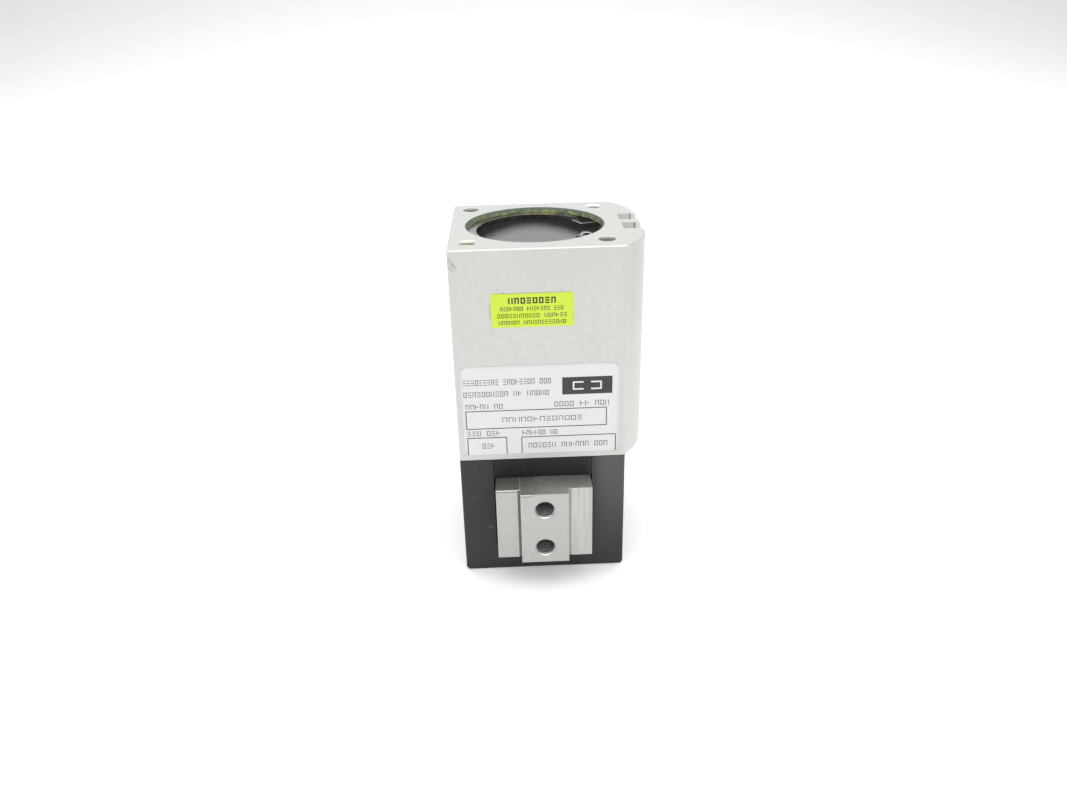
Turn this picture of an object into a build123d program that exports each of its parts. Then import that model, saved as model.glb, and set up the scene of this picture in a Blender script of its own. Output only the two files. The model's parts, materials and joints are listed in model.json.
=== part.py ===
from build123d import *
import os
from math import cos, hypot, radians, sin

# Two-jaw parallel gripper: an air cylinder with assist springs drives a double wedge,
# and the wedge opens and closes two jaws in a cross channel.
# Units are millimetres and +Z is up. The origin is the centre of the housing's
# underside, on the cylinder's axis. The jaws slide along Y and the sensor slots face +X.
# The pieces stand as they do with the jaws open and the piston down on its bumper.

# ---- Driving dimensions -------------------------------------------------------------

WIDTH = 63.5                 # housing, along X
DEPTH = 66.7                 # housing and cylinder body, along Y
HOUSING_TOP = 50.8
BODY_TOP = 133.35
BORE_R = 25.4
HOLE_SQUARE = 49.5           # spacing of the corner holes, both ways
RUN = 0.05                   # radial clearance of a sliding round fit

# Cylinder body
BULGE_R = 30.3               # round side of the body
BULGE_X = 9.5                # centres of the two bulge arcs
BULGE_Y = 12.0
EDGE_BREAK = 0.5
SLOT_X = 32.5                # bottom of the sensor slots
SLOT_Y = 6.8                 # centre of each sensor slot
SLOT_HALF = 4.4
MOUTH_HALF = 3.8
LIP = 2.0                    # thickness of the slot's lips
MOUTH_BORE_R = 26.25         # lead-in cone at the top of the bore
RING_DOWN = 2.0              # retaining ring's top, below the body's top
CHAMBER_FLOOR = 68.0
POCKET_TOP = 57.5            # clearance pocket for the wedge, under the web
POCKET_X = 12.5
POCKET_Y = 24.0
BUSHING_R = 8.5
BUSHING_TOP = 63.5
ROD_SEAL_R = 10.2
ROD_SEAL_BOTTOM = 64.0
ROD_SEAL_HEIGHT = 3.4
BUMPER_IN = 12.5
BUMPER_OUT = 17.0
BUMPER_BOTTOM = 66.0

# Retaining ring and end cap
RING_TOP = BODY_TOP - RING_DOWN
RING_THICK = 1.57
RING_R = 26.85
RING_INNER_R = 22.2
GROOVE_R = 26.95
GROOVE_PLAY = 0.08
LUG_INNER_R = 18.7
LUG_HOLE_RING_R = 21.2
LUG_HOLE_R = 1.5
LUG_FROM = 17.0              # degrees either side of +X
LUG_TO = 38.0
SEAT_GAP = 0.02              # left between parts that seat on each other
CAP_TOP = RING_TOP - RING_THICK - SEAT_GAP
CAP_THICK = 10.0
CAP_BOTTOM = CAP_TOP - CAP_THICK
O_RING_R = 1.14
O_RING_GROOVE_R = 23.1
O_RING_GROOVE = 3.2          # width of its groove
SPRING_POCKET_R = 16.5
SPRING_POCKET = 3.0          # depth, in the cap and in the piston

# Piston group
PISTON_BOTTOM = 68.5
PISTON_THICK = 16.0
PISTON_TOP = PISTON_BOTTOM + PISTON_THICK
PISTON_R = BORE_R - 2 * RUN
LAND = 0.9
SEAL_HEIGHT = 3.2
MAGNET_HEIGHT = 2.2
WEAR_HEIGHT = 2.4
SEAL_GROOVE_R = 22.4
WEAR_GROOVE_R = 23.8
LOWER_SEAL_Z = PISTON_BOTTOM + 1.3
MAGNET_Z = LOWER_SEAL_Z + SEAL_HEIGHT + LAND
WEAR_Z = MAGNET_Z + MAGNET_HEIGHT + LAND
UPPER_SEAL_Z = WEAR_Z + WEAR_HEIGHT + LAND
ROD_R = 6.35
ROD_BOTTOM = 25.0
ROD_TOP = PISTON_BOTTOM + 2.0
SCREW_SEAT = 77.0
SCREW_HEAD_R = 5.0
SCREW_HEAD = 4.4
SCREW_R = 3.15
SCREW_CORE_R = 2.65
SCREW_IN_ROD = 14.0
OUTER_SPRING = (14.0, 1.5, 6)     # mean radius, wire radius, turns
INNER_SPRING = (9.0, 1.0, 9)

# Wedge
SLOPE = 0.5                  # jaw travel for each unit of piston travel
OUT = hypot(1.0, SLOPE)      # horizontal offset for a unit offset square to the slope
WEDGE_BASE_Z = 12.0
WEDGE_BASE_Y = 10.0
WEDGE_BOTTOM = 13.0
WEDGE_TOP = 37.0
WEDGE_X = 12.0
RAIL_TOP = 30.0              # top of the T-shaped rails on the slopes
RAIL_ROOT = 0.5              # overlap that joins the rails to the wedge
NECK_X = 4.5
HEAD_X = 8.0
NECK = 3.0
HEAD = 3.5
SLIP = 0.1                   # gap between the sliding flats of wedge and jaws
PIN_Z = 31.0
PIN_R = 1.5
PIN_GAP = 0.01               # round a pressed pin
PIN_BREAK = 0.3

# Jaws and channel
CHANNEL_HALF = 19.05
CHANNEL_FLOOR = 11.95
JAW_HALF = 18.35
JAW_BOTTOM = 12.0
JAW_TOP = 42.5
FLANGE_Y = 43.1
BOSS_Y = 47.0
BOSS_HALF = 9.15
CHEEK_X = 12.6               # inner face of the cheeks beside the wedge
CHEEK_Y = 10.2
RELIEF_WIDTH = 1.0
RELIEF_DEPTH = 0.6
FINGER_PITCH = 16.8          # tapped holes in the boss, along Z
FINGER_MID_Z = 27.05
FINGER_R = 3.3
FINGER_MOUTH_R = 3.95
FINGER_DEPTH = 14.0
JAW_BREAK = 0.25

# Guide rails
GUIDE_IN = 16.5
GUIDE_OUT = 21.0
GUIDE_Y = 20.5
GUIDE_LOW = 24.0
GUIDE_HIGH = 31.0
GUIDE_MID = (GUIDE_LOW + GUIDE_HIGH) / 2
GUIDE_GROOVE_Y = 31.0        # end of the groove in the jaw
GUIDE_SCREW_Y = 12.0
GUIDE_FLOOR = 1.0            # left under the rail's tapped holes

# Cover plate
COVER_BOTTOM = 42.6
COVER_PLAY = 0.05
COVER_SCREW_X = 14.5
COVER_SCREW_Y = 29.0
RAIL_WINDOW_X = 8.5
RAIL_WINDOW_Y = 27.0

# Fasteners and ports
CORNER = HOLE_SQUARE / 2
TAP_R = 2.6                  # quarter-inch tapped holes
TAP_MOUTH_R = 3.2
TAP_DEPTH = 16.0
LOWER_TAP_R = 2.85           # holes under the body, for the housing screws
LONG_HEAD_R = 4.75
LONG_HEAD = 6.35
LONG_SHANK_R = 3.17
LONG_END = 64.0
LONG_SEAT = 7.0
SMALL_HEAD_R = 2.75
SMALL_HEAD = 3.0
SMALL_SHANK_R = 1.45
SMALL_TAP_R = 1.5
SCREW_CLEAR = 0.15           # round a shank in its plain hole
HEAD_CLEAR = 0.3             # round a small head in its counterbore
LONG_HEAD_CLEAR = 0.45
COVER_SEAT = COVER_BOTTOM + SMALL_HEAD + 0.4
SIDE_SEAT = WIDTH / 2 - SMALL_HEAD - 0.8
COVER_TAP_DEPTH = 8.0        # into the cylinder body
DOWEL_R = 2.5
DOWEL_HALF = 6.0
PORT_R = 4.3
PORT_MOUTH_R = 4.9
PORT_HIGH_Z = 113.0
PORT_LOW_Z = 62.75
PORT_LOW_X = -19.0           # blind end of the lower port
PASSAGE_X = -20.5
PASSAGE_R = 1.5
PORT_CUT_IN = 2.0            # how far the upper port's cutter runs into the bore

# Labels, (low X, high X, low Z, high Z)
NAMEPLATE = (-29.5, 28.8, 53.0, 89.5)
YELLOW_LABEL = (-17.4, 12.0, 104.55, 117.1)
LABEL_THICK = 0.15
NAMEPLATE_CORNER = 2.8
YELLOW_CORNER = 0.4


# ---- Shape helpers ------------------------------------------------------------------

def block(x0, x1, y0, y1, z0, z1):
    size = (x1 - x0, y1 - y0, z1 - z0)
    return Pos((x0 + x1) / 2, (y0 + y1) / 2, (z0 + z1) / 2) * Box(*size)


def disc(r, z0, z1, x=0.0, y=0.0):
    return Pos(x, y, (z0 + z1) / 2) * Cylinder(r, z1 - z0)


def ring(r_out, r_in, z0, z1):
    return disc(r_out, z0, z1) - disc(r_in, z0, z1)


def cone(r0, r1, z0, z1, x=0.0, y=0.0):
    return Pos(x, y, (z0 + z1) / 2) * Cone(r0, r1, z1 - z0)


def turned(points):
    """A closed (radius, z) outline turned about the cylinder's axis."""
    return revolve(make_face(Polyline(*[(r, 0, z) for r, z in points], close=True)), Axis.Z)


def along_x(shape, x, y, z, towards=1):
    """Lay a shape made along +Z down so that it runs along +X or -X from a point."""
    return Pos(x, y, z) * Rot(0, 90 * towards, 0) * shape


def along_y(shape, x, y, z, towards=1):
    """Lay a shape made along +Z down so that it runs along +Y or -Y from a point."""
    return Pos(x, y, z) * Rot(-90 * towards, 0, 0) * shape


def corners(x, y):
    return [(sx * x, sy * y) for sx in (-1, 1) for sy in (-1, 1)]


def tapped_hole(r, mouth_r, depth):
    """A blind hole cutter down -Z from the origin, with a countersunk mouth and drill tip."""
    flare = mouth_r - r
    tip = r * 0.6
    return disc(r, -depth, 0.5) + cone(r, mouth_r, -flare, 0) + cone(0.01, r, -depth - tip, -depth)


def hexagon(across_flats, z0, z1):
    outline = RegularPolygon(across_flats / 2, 6, major_radius=False)
    return Pos(0, 0, z0) * extrude(outline, z1 - z0)


def socket_screw(head_r, head, shank_r, length, thread_r=None, plain=0.0):
    """A socket screw with its head below the origin and its shank along +Z."""
    screw = disc(head_r, -head, 0) + disc(thread_r or shank_r, 0, length)
    if plain:
        screw += disc(shank_r, 0, plain)
    rim_break, key_depth = head * 0.06, head * 0.55
    screw = chamfer(screw.edges().group_by(Axis.Z)[0], rim_break)
    return screw - hexagon(head_r, -head, key_depth - head)


def as_group(solids):
    return Compound(children=[Solid(s.solids()[0].wrapped) for s in solids])


# ---- Cylinder body ------------------------------------------------------------------

def body_outline():
    round_side = Rectangle(2 * BULGE_R, 2 * BULGE_Y)
    round_side += [Pos(0, y) * Circle(BULGE_R) for y in (-BULGE_Y, BULGE_Y)]
    round_side = Pos(BULGE_X, 0) * round_side
    square_side = Pos((BULGE_X - WIDTH / 2) / 2, 0) * Rectangle(BULGE_X + WIDTH / 2, DEPTH)
    half_plane = Pos(BULGE_X + BULGE_R, 0) * Rectangle(2 * BULGE_R, DEPTH)
    return square_side + (round_side & half_plane)


def sensor_slot(y):
    """A T-slot cutter, open to +X, with sloping shoulders under its lips."""
    side = BULGE_X + BULGE_R
    step = SLOT_HALF - MOUTH_HALF
    half = [
        (SLOT_X, SLOT_HALF),
        (side - LIP - step, SLOT_HALF),
        (side - LIP, MOUTH_HALF),
        (side + 1, MOUTH_HALF),
    ]
    outline = half + [(x, -v) for x, v in reversed(half)]
    face = make_face(Polyline(*outline, close=True))
    return Pos(0, y, HOUSING_TOP - 1) * extrude(face, BODY_TOP - HOUSING_TOP + 2)


def cylinder_body():
    body = Pos(0, 0, HOUSING_TOP) * extrude(body_outline(), BODY_TOP - HOUSING_TOP)
    left_edges = body.edges().filter_by(Axis.Z).group_by(Axis.X)[0]
    body = fillet(left_edges, EDGE_BREAK)
    rims = body.edges().group_by(Axis.Z)
    body = chamfer(rims[-1], EDGE_BREAK)
    body -= disc(BORE_R, CHAMBER_FLOOR, BODY_TOP + 1)
    body -= cone(BORE_R, MOUTH_BORE_R, RING_TOP, BODY_TOP)
    body -= disc(GROOVE_R, RING_TOP - RING_THICK - GROOVE_PLAY, RING_TOP + GROOVE_PLAY)
    body -= disc(BUSHING_R + SEAT_GAP, POCKET_TOP - 1, BUSHING_TOP)
    body -= disc(ROD_R + 10 * RUN, BUSHING_TOP - 1, ROD_SEAL_BOTTOM + 1)
    body -= disc(ROD_SEAL_R, ROD_SEAL_BOTTOM, CHAMBER_FLOOR + 1)
    body -= ring(BUMPER_OUT, BUMPER_IN, BUMPER_BOTTOM, CHAMBER_FLOOR + 1)
    body -= block(-POCKET_X, POCKET_X, -POCKET_Y, POCKET_Y, HOUSING_TOP - 1, POCKET_TOP)
    for y in (-SLOT_Y, SLOT_Y):
        body -= sensor_slot(y)
    for x, y in corners(CORNER, CORNER):
        body -= Pos(x, y, BODY_TOP) * tapped_hole(TAP_R, TAP_MOUTH_R, TAP_DEPTH)
        lower = Rot(180, 0, 0) * tapped_hole(LOWER_TAP_R, TAP_MOUTH_R, TAP_DEPTH)
        body -= Pos(x, y, HOUSING_TOP) * lower
    for x, y in corners(COVER_SCREW_X, COVER_SCREW_Y):
        body -= disc(SMALL_TAP_R, HOUSING_TOP - 1, HOUSING_TOP + COVER_TAP_DEPTH, x, y)
    for x in (-CORNER, CORNER):
        body -= disc(DOWEL_R, HOUSING_TOP - 1, HOUSING_TOP + DOWEL_HALF, x)
    left = -WIDTH / 2
    lower_port = tapped_hole(PORT_R, PORT_MOUTH_R, PORT_LOW_X - left)
    body -= along_x(lower_port, left, 0, PORT_LOW_Z, -1)
    body -= disc(PASSAGE_R, PORT_LOW_Z, CHAMBER_FLOOR + 1, PASSAGE_X)
    upper_port = tapped_hole(PORT_R, PORT_MOUTH_R, -BORE_R - left + PORT_CUT_IN)
    return body - along_x(upper_port, left, 0, PORT_HIGH_Z, -1)


# ---- End of the bore ----------------------------------------------------------------

def sector(reach, start, end):
    points = [(0, 0)] + [(reach * cos(radians(a)), reach * sin(radians(a))) for a in (start, end)]
    return make_face(Polyline(*points, close=True))


def retaining_ring():
    """Internal ring with its gap at +X and a plier hole in each lug."""
    reach = 2 * RING_R
    flat = Circle(RING_R) - Circle(RING_INNER_R)
    for side in (-1, 1):
        lug = (Circle(RING_R) - Circle(LUG_INNER_R)) & sector(reach, side * LUG_FROM, side * LUG_TO)
        flat += lug
    flat -= sector(reach, -LUG_FROM, LUG_FROM)
    angle = radians((LUG_FROM + LUG_TO) / 2)
    hole_x = LUG_HOLE_RING_R * cos(angle)
    hole_y = LUG_HOLE_RING_R * sin(angle)
    flat -= [Pos(hole_x, side * hole_y) * Circle(LUG_HOLE_R) for side in (-1, 1)]
    return Pos(0, 0, RING_TOP - RING_THICK) * extrude(flat, RING_THICK)


def end_cap():
    middle = CAP_BOTTOM + CAP_THICK / 2
    cap = disc(BORE_R - RUN, CAP_BOTTOM, CAP_TOP)
    cap = chamfer(cap.edges().group_by(Axis.Z)[-1], EDGE_BREAK)
    half = O_RING_GROOVE / 2
    cap -= ring(BORE_R + 1, O_RING_GROOVE_R - SEAT_GAP, middle - half, middle + half)
    return cap - disc(SPRING_POCKET_R, CAP_BOTTOM - 1, CAP_BOTTOM + SPRING_POCKET)


def end_cap_o_ring():
    return Pos(0, 0, CAP_BOTTOM + CAP_THICK / 2) * Torus((O_RING_GROOVE_R + BORE_R) / 2, O_RING_R)


# ---- Piston group -------------------------------------------------------------------

def piston():
    body = disc(PISTON_R, PISTON_BOTTOM, PISTON_TOP)
    rims = body.edges()
    body = chamfer(rims, EDGE_BREAK)
    for low, height, r in (
        (LOWER_SEAL_Z, SEAL_HEIGHT, SEAL_GROOVE_R),
        (MAGNET_Z, MAGNET_HEIGHT, SEAL_GROOVE_R),
        (WEAR_Z, WEAR_HEIGHT, WEAR_GROOVE_R),
        (UPPER_SEAL_Z, SEAL_HEIGHT, SEAL_GROOVE_R),
    ):
        body -= ring(BORE_R + 1, r, low, low + height)
    body -= disc(SPRING_POCKET_R, PISTON_TOP - SPRING_POCKET, PISTON_TOP + 1)
    body -= disc(SCREW_HEAD_R + HEAD_CLEAR, SCREW_SEAT, PISTON_TOP)
    body -= disc(SCREW_R + SCREW_CLEAR, ROD_TOP, PISTON_TOP)
    return body - disc(ROD_R + RUN, PISTON_BOTTOM - 1, ROD_TOP)


def lip_seal(low, facing):
    """A U-shaped piston seal; facing is +1 when its lips point up."""
    groove, lip = SEAL_GROOVE_R + RUN, BORE_R - RUN
    base, mouth = 2 * RUN, SEAL_HEIGHT - 2 * RUN
    lip_width, notch_depth, draft = 0.9, 1.5, 0.15
    outline = [
        (groove, base),
        (lip - draft, base),
        (lip, mouth),
        (lip - lip_width, mouth),
        ((groove + lip) / 2, mouth - notch_depth),
        (groove + lip_width, mouth),
        (groove, mouth),
    ]
    if facing < 0:
        outline = [(r, SEAL_HEIGHT - z) for r, z in outline]
    return turned([(r, low + z) for r, z in outline])


def piston_seal_lower():
    return lip_seal(LOWER_SEAL_Z, -1)


def piston_seal_upper():
    return lip_seal(UPPER_SEAL_Z, 1)


def magnet_ring():
    low, high = MAGNET_Z + RUN, MAGNET_Z + MAGNET_HEIGHT - RUN
    return ring(PISTON_R - 4 * RUN, SEAL_GROOVE_R + RUN, low, high)


def wear_ring():
    """Guide band with a slanting joint, so that it can be sprung into its groove."""
    low, high = WEAR_Z + RUN, WEAR_Z + WEAR_HEIGHT - RUN
    band = ring(BORE_R - SEAT_GAP, WEAR_GROOVE_R + RUN, low, high)
    slant, saw = 30, 0.6
    joint = Rot(slant, 0, 0) * Box(4 * (BORE_R - WEAR_GROOVE_R), saw, 3 * WEAR_HEIGHT)
    return band - Pos(-BORE_R, 0, (low + high) / 2) * joint


def piston_rod():
    rod = disc(ROD_R, ROD_BOTTOM, ROD_TOP)
    rod = chamfer(rod.edges(), EDGE_BREAK)
    rod -= disc(SCREW_CORE_R + RUN, ROD_TOP - SCREW_IN_ROD - 2, ROD_TOP)
    return rod - along_x(disc(PIN_R, -WEDGE_X, WEDGE_X), 0, 0, PIN_Z)


def piston_screw():
    grip = SCREW_SEAT - ROD_TOP
    screw = socket_screw(SCREW_HEAD_R, SCREW_HEAD, SCREW_R, grip + SCREW_IN_ROD, SCREW_CORE_R, grip)
    return Pos(0, 0, SCREW_SEAT) * Rot(180, 0, 0) * screw


def spring(mean_r, wire_r, turns):
    low = PISTON_TOP - SPRING_POCKET + wire_r
    high = CAP_BOTTOM + SPRING_POCKET - wire_r
    path = Pos(0, 0, low) * Helix((high - low) / turns, high - low, mean_r)
    section = Plane(origin=path @ 0, z_dir=path % 0) * Circle(wire_r - SEAT_GAP)
    return sweep(section, path, is_frenet=True)


def outer_spring():
    return spring(*OUTER_SPRING)


def inner_spring():
    return spring(*INNER_SPRING)


def rod_bushing():
    return ring(BUSHING_R, ROD_R + RUN, POCKET_TOP, BUSHING_TOP - SEAT_GAP)


def rod_seal():
    inner, outer = ROD_R + RUN, ROD_SEAL_R - SEAT_GAP
    low, high = ROD_SEAL_BOTTOM + SEAT_GAP, ROD_SEAL_BOTTOM + ROD_SEAL_HEIGHT
    lip_width, notch_depth, draft = 1.0, 1.7, 0.2
    return turned([
        (inner + draft, low),
        (outer, low),
        (outer, high),
        (outer - lip_width, high),
        ((inner + outer) / 2, high - notch_depth),
        (inner + lip_width, high),
        (inner, high),
    ])


def bumper():
    top = PISTON_BOTTOM - SEAT_GAP
    pad = ring(BUMPER_OUT - 2 * RUN, BUMPER_IN + 2 * RUN, BUMPER_BOTTOM, top)
    return chamfer(pad.edges().group_by(Axis.Z)[-1], EDGE_BREAK)


# ---- Wedge --------------------------------------------------------------------------

def slope_y(z):
    """Half the wedge's width along Y at a height, with the jaws open."""
    return WEDGE_BASE_Y + SLOPE * (z - WEDGE_BASE_Z)


def slope_band(half_x, z0, z1, inner, outer, side):
    """A bar that follows the wedge's slope, between two offsets square to the slope."""
    outline = [
        (side * (slope_y(z) + offset * OUT), z)
        for z, offset in ((z0, inner), (z1, inner), (z1, outer), (z0, outer))
    ]
    face = make_face(Polyline(*[(-half_x, y, z) for y, z in outline], close=True))
    return extrude(face, 2 * half_x, dir=(1, 0, 0))


def wedge_cam():
    base, top = slope_y(WEDGE_BOTTOM), slope_y(WEDGE_TOP)
    outline = [(-base, WEDGE_BOTTOM), (base, WEDGE_BOTTOM), (top, WEDGE_TOP), (-top, WEDGE_TOP)]
    face = make_face(Polyline(*[(-WEDGE_X, y, z) for y, z in outline], close=True))
    wedge = extrude(face, 2 * WEDGE_X, dir=(1, 0, 0))
    for side in (-1, 1):
        wedge += slope_band(NECK_X, WEDGE_BOTTOM, RAIL_TOP, -RAIL_ROOT, NECK + RAIL_ROOT, side)
        wedge += slope_band(HEAD_X, WEDGE_BOTTOM, RAIL_TOP, NECK, NECK + HEAD, side)
    wedge -= disc(ROD_R + RUN, ROD_BOTTOM, WEDGE_TOP + 1)
    return wedge - along_x(disc(PIN_R, -WEDGE_X - 1, WEDGE_X + 1), 0, 0, PIN_Z)


def cross_pin():
    pin = disc(PIN_R - PIN_GAP, -WEDGE_X, WEDGE_X)
    return along_x(chamfer(pin.edges(), PIN_BREAK), 0, 0, PIN_Z)


# ---- Jaws ---------------------------------------------------------------------------

def front_jaw():
    jaw = block(-JAW_HALF, JAW_HALF, -FLANGE_Y, -CHEEK_Y, JAW_BOTTOM, JAW_TOP)
    jaw = chamfer(jaw.faces().sort_by(Axis.Y)[0].edges(), JAW_BREAK)
    boss = block(-BOSS_HALF, BOSS_HALF, -BOSS_Y, -FLANGE_Y + 1, JAW_BOTTOM, JAW_TOP)
    jaw += chamfer(boss.faces().sort_by(Axis.Y)[0].edges(), JAW_BREAK)
    low, high = JAW_BOTTOM - 1, JAW_TOP + 1
    jaw -= slope_band(CHEEK_X, low, high, -FLANGE_Y, SLIP / OUT, -1)
    jaw -= slope_band(NECK_X + SLIP, low, high, 0, NECK, -1)
    jaw -= slope_band(HEAD_X + SLIP, low, high, NECK - SLIP, NECK + HEAD + SLIP, -1)
    hole = tapped_hole(FINGER_R, FINGER_MOUTH_R, FINGER_DEPTH)
    for side in (-1, 1):
        groove = sorted((side * (GUIDE_IN - SLIP), side * (JAW_HALF + 1)))
        jaw -= block(*groove, -GUIDE_GROOVE_Y, 0, GUIDE_LOW - RUN, GUIDE_HIGH + RUN)
        relief = sorted((side * BOSS_HALF, side * (BOSS_HALF + RELIEF_WIDTH)))
        jaw -= block(*relief, -FLANGE_Y - 1, -FLANGE_Y + RELIEF_DEPTH, low, high)
        jaw -= along_y(hole, 0, -BOSS_Y, FINGER_MID_Z + side * FINGER_PITCH / 2, -1)
    return jaw


def rear_jaw():
    """The same piece as the front jaw, turned half round."""
    return Rot(0, 0, 180) * front_jaw()


# ---- Housing ------------------------------------------------------------------------

def jaw_housing():
    foot_r, edge = 1.7, 0.4
    housing = block(-WIDTH / 2, WIDTH / 2, -DEPTH / 2, DEPTH / 2, 0, HOUSING_TOP)
    foot_edges = housing.faces().sort_by(Axis.Z)[0].edges().filter_by(Axis.Y)
    housing = fillet(foot_edges, foot_r)
    for end in (0, -1):
        housing = chamfer(housing.faces().sort_by(Axis.Y)[end].edges(), edge)
    housing -= block(-CHANNEL_HALF, CHANNEL_HALF, -DEPTH, DEPTH, CHANNEL_FLOOR, HOUSING_TOP + 1)
    housing -= block(-GUIDE_OUT, GUIDE_OUT, -GUIDE_Y, GUIDE_Y, GUIDE_LOW, GUIDE_HIGH)
    for x, y in corners(CORNER, CORNER):
        housing -= disc(LONG_SHANK_R + SCREW_CLEAR, -1, HOUSING_TOP + 1, x, y)
        housing -= disc(LONG_HEAD_R + LONG_HEAD_CLEAR, -1, LONG_SEAT, x, y)
    shank_hole = disc(SMALL_SHANK_R + SCREW_CLEAR, 0, WIDTH)
    counterbore = disc(SMALL_HEAD_R + HEAD_CLEAR, 0, WIDTH)
    for side in (-1, 1):
        housing -= disc(DOWEL_R, HOUSING_TOP - DOWEL_HALF - EDGE_BREAK, HOUSING_TOP + 1, side * CORNER)
        for y in (-GUIDE_SCREW_Y, GUIDE_SCREW_Y):
            housing -= along_x(shank_hole, side * CHANNEL_HALF, y, GUIDE_MID, side)
            housing -= along_x(counterbore, side * SIDE_SEAT, y, GUIDE_MID, side)
    return housing


def channel_cover():
    half = CHANNEL_HALF - COVER_PLAY
    cover = block(-half, half, -DEPTH / 2, DEPTH / 2, COVER_BOTTOM, HOUSING_TOP)
    for end in (0, -1):
        cover = chamfer(cover.faces().sort_by(Axis.Y)[end].edges(), JAW_BREAK)
    cover -= block(-POCKET_X, POCKET_X, -POCKET_Y, POCKET_Y, COVER_BOTTOM - 1, HOUSING_TOP + 1)
    window = block(-RAIL_WINDOW_X, RAIL_WINDOW_X, -RAIL_WINDOW_Y, RAIL_WINDOW_Y, 0, HOUSING_TOP + 1)
    cover -= window
    for x, y in corners(COVER_SCREW_X, COVER_SCREW_Y):
        cover -= disc(SMALL_SHANK_R + SCREW_CLEAR, COVER_BOTTOM - 1, HOUSING_TOP + 1, x, y)
        cover -= disc(SMALL_HEAD_R + HEAD_CLEAR, COVER_BOTTOM - 1, COVER_SEAT, x, y)
    return cover


def guide_rail(side):
    across = sorted((side * GUIDE_IN, side * GUIDE_OUT))
    rail = block(*across, -GUIDE_Y, GUIDE_Y, GUIDE_LOW, GUIDE_HIGH)
    tap = disc(SMALL_TAP_R, 0, GUIDE_OUT)
    for y in (-GUIDE_SCREW_Y, GUIDE_SCREW_Y):
        rail -= along_x(tap, side * (GUIDE_IN + GUIDE_FLOOR), y, GUIDE_MID, side)
    return rail


def guide_rail_left():
    return guide_rail(-1)


def guide_rail_right():
    return guide_rail(1)


# ---- Fasteners ----------------------------------------------------------------------

def rail_screws():
    length = SIDE_SEAT - GUIDE_IN - GUIDE_FLOOR - EDGE_BREAK
    screw = socket_screw(SMALL_HEAD_R, SMALL_HEAD, SMALL_SHANK_R, length)
    return as_group([
        along_x(screw, side * SIDE_SEAT, y, GUIDE_MID, -side)
        for side in (-1, 1) for y in (-GUIDE_SCREW_Y, GUIDE_SCREW_Y)
    ])


def cover_screws():
    length = HOUSING_TOP + COVER_TAP_DEPTH - 1 - COVER_SEAT
    screw = socket_screw(SMALL_HEAD_R, SMALL_HEAD, SMALL_SHANK_R, length)
    return as_group([Pos(x, y, COVER_SEAT) * screw for x, y in corners(COVER_SCREW_X, COVER_SCREW_Y)])


def housing_screws():
    length, plain = LONG_END - LONG_SEAT, HOUSING_TOP - LONG_SEAT
    screw = socket_screw(LONG_HEAD_R, LONG_HEAD, LONG_SHANK_R, length, LOWER_TAP_R - RUN, plain)
    return as_group([Pos(x, y, LONG_SEAT) * screw for x, y in corners(CORNER, CORNER)])


def dowel_pins():
    low, high = HOUSING_TOP - DOWEL_HALF, HOUSING_TOP + DOWEL_HALF - SLIP
    pin = chamfer(disc(DOWEL_R - PIN_GAP, low, high).edges(), PIN_BREAK)
    return as_group([Pos(x, 0, 0) * pin for x in (-CORNER, CORNER)])


# ---- Labels -------------------------------------------------------------------------

def label(x0, x1, z0, z1, corner_r):
    plate = block(x0, x1, -DEPTH / 2 - LABEL_THICK, -DEPTH / 2, z0, z1)
    return fillet(plate.edges().filter_by(Axis.Y), corner_r)


def nameplate():
    return label(*NAMEPLATE, NAMEPLATE_CORNER)


def yellow_label():
    return label(*YELLOW_LABEL, YELLOW_CORNER)


# ---- Write one file for each node ---------------------------------------------------

PIECES = [
    cylinder_body, retaining_ring, end_cap, end_cap_o_ring, piston, piston_seal_lower,
    piston_seal_upper, magnet_ring, wear_ring, piston_rod, piston_screw, outer_spring,
    inner_spring, rod_bushing, rod_seal, bumper, wedge_cam, cross_pin, front_jaw, rear_jaw,
    jaw_housing, channel_cover, guide_rail_left, guide_rail_right, rail_screws,
    cover_screws, housing_screws, dowel_pins, nameplate, yellow_label,
]

os.makedirs("parts", exist_ok=True)
for make in PIECES:
    export_step(make(), f"parts/{make.__name__}.step")
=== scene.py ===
import json
import random
from math import cos, radians, sin, tau

import bmesh
import bpy
from mathutils import Matrix, Vector


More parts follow.
